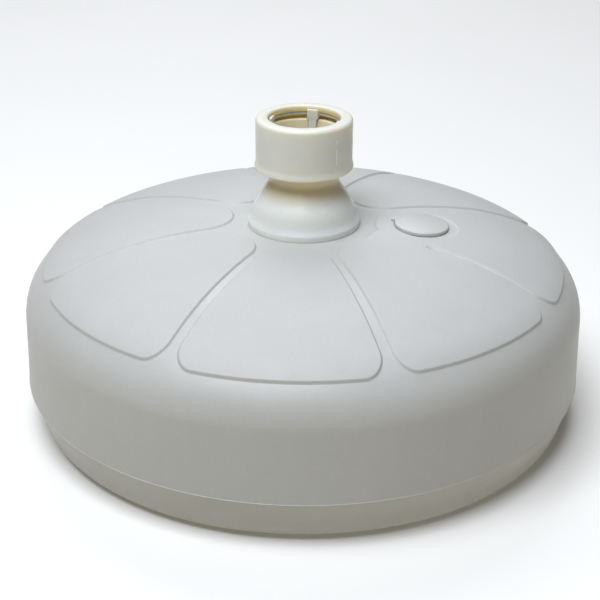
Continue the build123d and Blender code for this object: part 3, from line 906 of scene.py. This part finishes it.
# ---------------------------------------------------------------- neck
bell_start = (WAIST_RADIUS, WAIST_Z[0])
bell_end = (BELL_RADIUS - 0.5, BELL_BAND_TOP + 0.6)
bell_run = smooth_through([bell_start, (27.6, 193.4), *BELL_CURVE, bell_end])
neck_outline = Outline(
    rounded(
        [
            (BORE_RADIUS, TUBE_TOP),
            (BORE_RADIUS, 215.4, 0.4),
            (26.0, KEYWAY_FLOOR),
            (26.02, KEYWAY_FLOOR + 0.2),
            (27.6, NECK_TOP, 0.5),
            (COLLAR_RADIUS, NECK_TOP, 0.9),
            (COLLAR_RADIUS, 207.5, 0.8),
            (WAIST_RADIUS, WAIST_Z[1], 1.6),
            bell_start,
        ]
    ),
    bell_run,
    rounded(
        [
            bell_end,
            (BELL_RADIUS, BELL_BAND_TOP - 0.2, 0.5),
            (BELL_RADIUS, BELL_FOOT_Z + 0.02, 0.35),
            (42.3, BELL_FOOT_Z + 0.02),
            (42.3, 162.3, 2.0),
            (39.6, 165.9, 3.0),
            (36.7, 174.4, 6.0),
            (SLEEVE_RADII[1], TUBE_TOP, 1.0),
            (SLEEVE_RADII[1], SLEEVE_BOTTOM),
            (SLEEVE_RADII[0], SLEEVE_BOTTOM),
            (SLEEVE_RADII[0], TUBE_TOP),
            (BORE_RADIUS, TUBE_TOP),
        ]
    ),
)


def keyways(r, z, turn):
    """Opens the four keyways in the wide end of the neck's bore."""
    half = TONGUE_PITCH / 2
    off = np.radians((np.degrees(turn) - TONGUE_START + half) % TONGUE_PITCH - half)
    inside = KEYWAY_HALF_WIDTH - np.abs(KEYWAY_RADIUS * np.sin(off))
    share = np.clip(inside / 0.3 + 0.5, 0, 1)
    wide = np.maximum(r, KEYWAY_RADIUS)
    return np.where(z > KEYWAY_FLOOR + 0.05, r + (wide - r) * share, r), z


keyway_edges = []
for tongue in range(TONGUE_COUNT):
    for side in (-1, 1):
        for offset in (-0.35, -0.16, 0.0, 0.16, 0.35):
            swing = math.degrees(math.asin((KEYWAY_HALF_WIDTH + offset) / KEYWAY_RADIUS))
            angle = TONGUE_START + tongue * TONGUE_PITCH + side * swing
            keyway_edges.append(math.radians(angle) % (2 * np.pi))
neck_turns = np.sort(np.concatenate([np.radians(np.arange(0, 360, 2.0)), keyway_edges]))
neck_piece = skin(neck_outline, neck_outline.stations(lambda r, z: 2.5, 12.0), neck_turns, warp=keyways)
neck = build("neck_moulding", [neck_piece, ridge(COLLAR_RADIUS, 1, THREAD_START)], NECK)
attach(neck, "base")
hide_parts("neck")

# ---------------------------------------------------------------- clamp nut
nut_outline = Outline(
    rounded(
        [
            (NUT_BORE, 212.0),
            (NUT_BORE, LIP_UNDERSIDE, 0.5),
            (LIP_RADIUS, LIP_UNDERSIDE, 0.4),
            (LIP_RADIUS, NUT_Z[1], 1.4),
            (NUT_RADII[1], NUT_Z[1], 3.0),
            (NUT_RADII[0], NUT_Z[0] + 3.7, 0.15),
            (NUT_BEAD, NUT_Z[0] + 3.1, 0.4),
            (NUT_BEAD, NUT_Z[0], 1.0),
            (NUT_BORE, NUT_Z[0], 0.7),
            (NUT_BORE, 212.0),
        ]
    )
)


def nut_mark(r, z, turn):
    """The raised line and dot that show how far the nut is turned."""
    across = r * np.sin(turn - math.radians(MARK_ANGLE))
    facing = (np.cos(turn - math.radians(MARK_ANGLE)) > 0) & (r > 37.0)
    middle = (MARK_LINE[0] + MARK_LINE[1]) / 2
    half = (MARK_LINE[1] - MARK_LINE[0]) / 2 - MARK_HALF_WIDTH
    line = MARK_HALF_WIDTH - np.hypot(np.maximum(np.abs(z - middle) - half, 0), across)
    dot = MARK_DOT_RADIUS - np.hypot(z - MARK_DOT_Z, across)
    return np.where(facing, MARK_RELIEF * ease(np.maximum(line, dot) / 0.7 + 0.4), 0.0)


mark_turns = math.radians(MARK_ANGLE) + np.arange(-3.2, 3.21, 0.2) / 38.0
nut_turns = np.sort(np.concatenate([np.radians(np.arange(0, 360, 2.0)), mark_turns % (2 * np.pi)]))
nut_piece = skin(
    nut_outline,
    nut_outline.stations(lambda r, z: 0.35 if r > 37 and 213 < z < 235 else 2.0, 10.0),
    nut_turns,
    lift=nut_mark,
)
nut = build("clamp_nut_body", [nut_piece, ridge(NUT_BORE, -1, THREAD_START + PITCH / 2)], NUT)
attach(nut, "nut")
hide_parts("clamp_nut")

# ---------------------------------------------------------------- clamp collet
collet_ring = Outline(
    rounded(
        [
            (COLLET_RADII[0], 238.0),
            (COLLET_RADII[0], COLLET_Z[1], 0.3),
            (COLLET_RADII[1], COLLET_Z[1], 0.5),
            (COLLET_RADII[1], COLLET_Z[0], 0.5),
            (COLLET_RADII[0], COLLET_Z[0], 0.3),
            (COLLET_RADII[0], 238.0),
        ]
    )
)
collet_pieces = [skin(collet_ring, collet_ring.stations(lambda r, z: 1.2, 15.0), even_turns)]
tongue_half = math.degrees(TONGUE_WIDTH / TONGUE_MIDDLE) / 2
key_half = math.degrees(KEY_WIDTH / TONGUE_MIDDLE) / 2
head_outline = [
    (25.2, 242.0),
    (27.3, 242.0),
    (27.3, COLLET_Z[1]),
    (29.9, COLLET_Z[1]),
    (29.9, COLLET_Z[0]),
    (27.3, 234.2),
    (25.2, 234.2),
]
key_outline = [(25.2, 234.21), (28.2, 234.21), (26.9, 218.0), (24.8, 218.0)]
for tongue in range(TONGUE_COUNT):
    middle = TONGUE_START + TONGUE_PITCH * tongue
    collet_pieces.append(sector(head_outline, middle - tongue_half, middle + tongue_half))
    collet_pieces.append(sector(key_outline, middle - key_half, middle + key_half))
collet = build("clamp_collet_body", collet_pieces, COLLET)
soften(collet, 0.45)
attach(collet, "collet")
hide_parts("clamp_collet")

# ---------------------------------------------------------------- pieces whose CAD shape is kept
for node_name, material in (("pole_tube", TUBE), ("foot_nut", FOOT), ("filler_seal", SEAL)):
    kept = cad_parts[node_name]
    for material_slot in kept.material_slots:
        material_slot.material = material

# ---------------------------------------------------------------- stage, lights and camera
bpy.ops.mesh.primitive_plane_add(size=14.0, location=(0, 0, -0.0002))
floor = bpy.context.object
floor.name = "floor"
floor_look = Shading("floor_pale")
floor_cloud = floor_look.noise(2.0, 3.0, 0.5)
floor_tone = floor_look.mix(floor_cloud, tone(0.925, 0.915, 0.890), tone(0.94, 0.93, 0.905))
floor_rough = floor_look.remap(floor_look.noise(6.0, 3.0, 0.5), 0.3, 0.7, 0.7, 0.8)
floor_normal = floor_look.bump(floor_look.noise(30.0, 3.0, 0.5), 0.02, 0.5)
floor.data.materials.append(floor_look.finish(floor_tone, floor_rough, floor_normal))
floor.visible_diffuse = False     # a pale floor that throws no light back on the object

world = bpy.data.worlds.new("studio")
bpy.context.scene.world = world
world.use_nodes = True
sky = world.node_tree
heading = sky.nodes.new("ShaderNodeTexCoord")
axes = sky.nodes.new("ShaderNodeSeparateXYZ")
upward = sky.nodes.new("ShaderNodeMapRange")
upward.inputs["From Min"].default_value = -0.25
upward.inputs["From Max"].default_value = 0.25
glow = sky.nodes.new("ShaderNodeMix")
glow.data_type = "RGBA"
glow.inputs[6].default_value = (0.750, 0.712, 0.585, 1.0)     # thrown up from below
glow.inputs[7].default_value = (0.055, 0.057, 0.060, 1.0)     # from the room
sky.links.new(heading.outputs["Generated"], axes.inputs[0])
sky.links.new(axes.outputs[2], upward.inputs["Value"])
sky.links.new(upward.outputs["Result"], glow.inputs[0])
sky.links.new(glow.outputs[2], sky.nodes["Background"].inputs["Color"])


def softbox(name, place, aim, size, power, colour):
    data = bpy.data.lights.new(name, "AREA")
    data.shape = "RECTANGLE"
    data.size, data.size_y = size
    data.energy = power
    data.color = colour
    lamp = bpy.data.objects.new(name, data)
    lamp.location = place
    lamp.rotation_euler = (Vector(aim) - Vector(place)).to_track_quat("-Z", "Y").to_euler()
    bpy.context.scene.collection.objects.link(lamp)


softbox("overhead", (-0.42, -0.7, 2.2), (0.0, 0.0, 0.1), (1.6, 1.4), 58.0, (0.95, 0.985, 1.04))
softbox("behind", (-0.2, 2.3, 2.5), (0.0, 2.2, 0.0), (2.0, 2.0), 46.0, (0.96, 0.985, 1.03))

IMAGE_SIZE = 600
SENSOR = 36.0
FOCAL_PX = 1386.87
VIEW_CENTRE = (303.07, 323.36)
ROLL = math.radians(0.3346)
ELEVATION = math.radians(26.2234)
DISTANCE = 1.1459
TARGET = Vector((0.0, 0.0, 0.0669))
camera_data = bpy.data.cameras.new("camera")
camera_data.sensor_width = SENSOR
camera_data.lens = FOCAL_PX * SENSOR / IMAGE_SIZE
camera_data.shift_x = (IMAGE_SIZE / 2 - VIEW_CENTRE[0]) / IMAGE_SIZE
camera_data.shift_y = (VIEW_CENTRE[1] - IMAGE_SIZE / 2) / IMAGE_SIZE
camera_data.clip_end = 60.0
camera = bpy.data.objects.new("camera", camera_data)
bpy.context.scene.collection.objects.link(camera)
camera.location = TARGET + DISTANCE * Vector((0.0, -math.cos(ELEVATION), math.sin(ELEVATION)))
roll = Matrix.Rotation(ROLL, 4, "Z")
aim = (TARGET - camera.location).to_track_quat("-Z", "Y").to_matrix().to_4x4()
camera.rotation_euler = (aim @ roll).to_euler()
bpy.context.scene.camera = camera

bpy.context.scene.view_settings.view_transform = "Standard"
